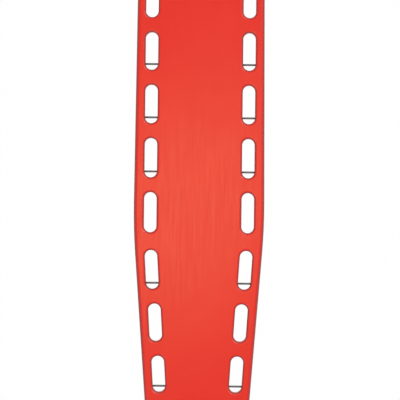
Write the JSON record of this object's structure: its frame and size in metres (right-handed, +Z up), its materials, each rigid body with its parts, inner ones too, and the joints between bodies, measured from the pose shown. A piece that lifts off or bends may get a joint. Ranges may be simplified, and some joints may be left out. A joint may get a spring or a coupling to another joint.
{
  "type": "spine board",
  "caption": "Rigid moulded rescue board with a flat deck, a tapering foot end, oblong handholds all round, steel strap pins and lengthwise runners underneath.",
  "frame": {"origin": "on the floor between the runners' soles, below the middle of the board's length and width", "axes": "+X to the right seen from the deck with the head end up, +Y to the head end, +Z up out of the deck"},
  "size_m": [0.405, 1.8287, 0.06],
  "materials": {
    "skin": "rotomoulded polyethylene, orange-red, fine mould grain with a soft gloss",
    "foam": "rigid polyurethane foam, cream, closed cells",
    "glass_fibre": "pultruded glass-fibre rod, pale green-grey",
    "pin_steel": "drawn stainless steel bar, dull grey",
    "plug": "moulded polyethylene plug, red, matt"
  },
  "bodies": {
    "root": {"shell": "skin", "foam_core": "foam", "stiffener_rod_left": "glass_fibre", "stiffener_rod_right": "glass_fibre", "filling_plug_head": "plug", "filling_plug_foot": "plug", "pin_left_2": "pin_steel", "pin_left_3": "pin_steel", "pin_left_4": "pin_steel", "pin_left_6": "pin_steel", "pin_left_8": "pin_steel", "pin_right_2": "pin_steel", "pin_right_3": "pin_steel", "pin_right_4": "pin_steel", "pin_right_6": "pin_steel", "pin_right_8": "pin_steel"}
  },
  "joints": []
}
